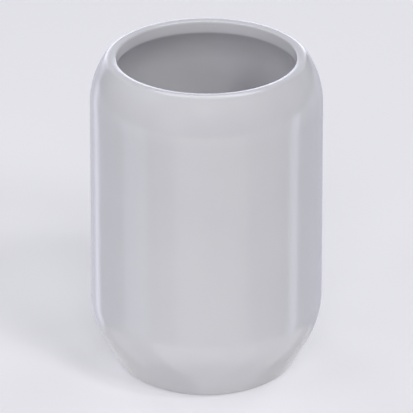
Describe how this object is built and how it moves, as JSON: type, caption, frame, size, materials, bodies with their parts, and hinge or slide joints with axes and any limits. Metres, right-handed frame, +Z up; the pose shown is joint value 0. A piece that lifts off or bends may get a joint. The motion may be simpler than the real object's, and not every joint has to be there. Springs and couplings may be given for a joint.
{
  "type": "bathroom tumbler",
  "caption": "Round ceramic bathroom tumbler with a curved shoulder drawn in to a rounded lip, a tapered foot and small soft feet under its base.",
  "frame": {"origin": "middle of the footprint, on the plane that the feet stand on", "axes": "+Z up along the axis of the tumbler; +X and +Y are any two square directions across it, with the feet between them"},
  "size_m": [0.0776, 0.0776, 0.11],
  "materials": {
    "glazed_body": "cool light grey glaze, satin to gloss",
    "soft_foot": "translucent matte silicone"
  },
  "bodies": {
    "root": {"tumbler_body": "glazed_body", "cushion_foot_1": "soft_foot", "cushion_foot_2": "soft_foot", "cushion_foot_3": "soft_foot", "cushion_foot_4": "soft_foot"}
  },
  "joints": []
}
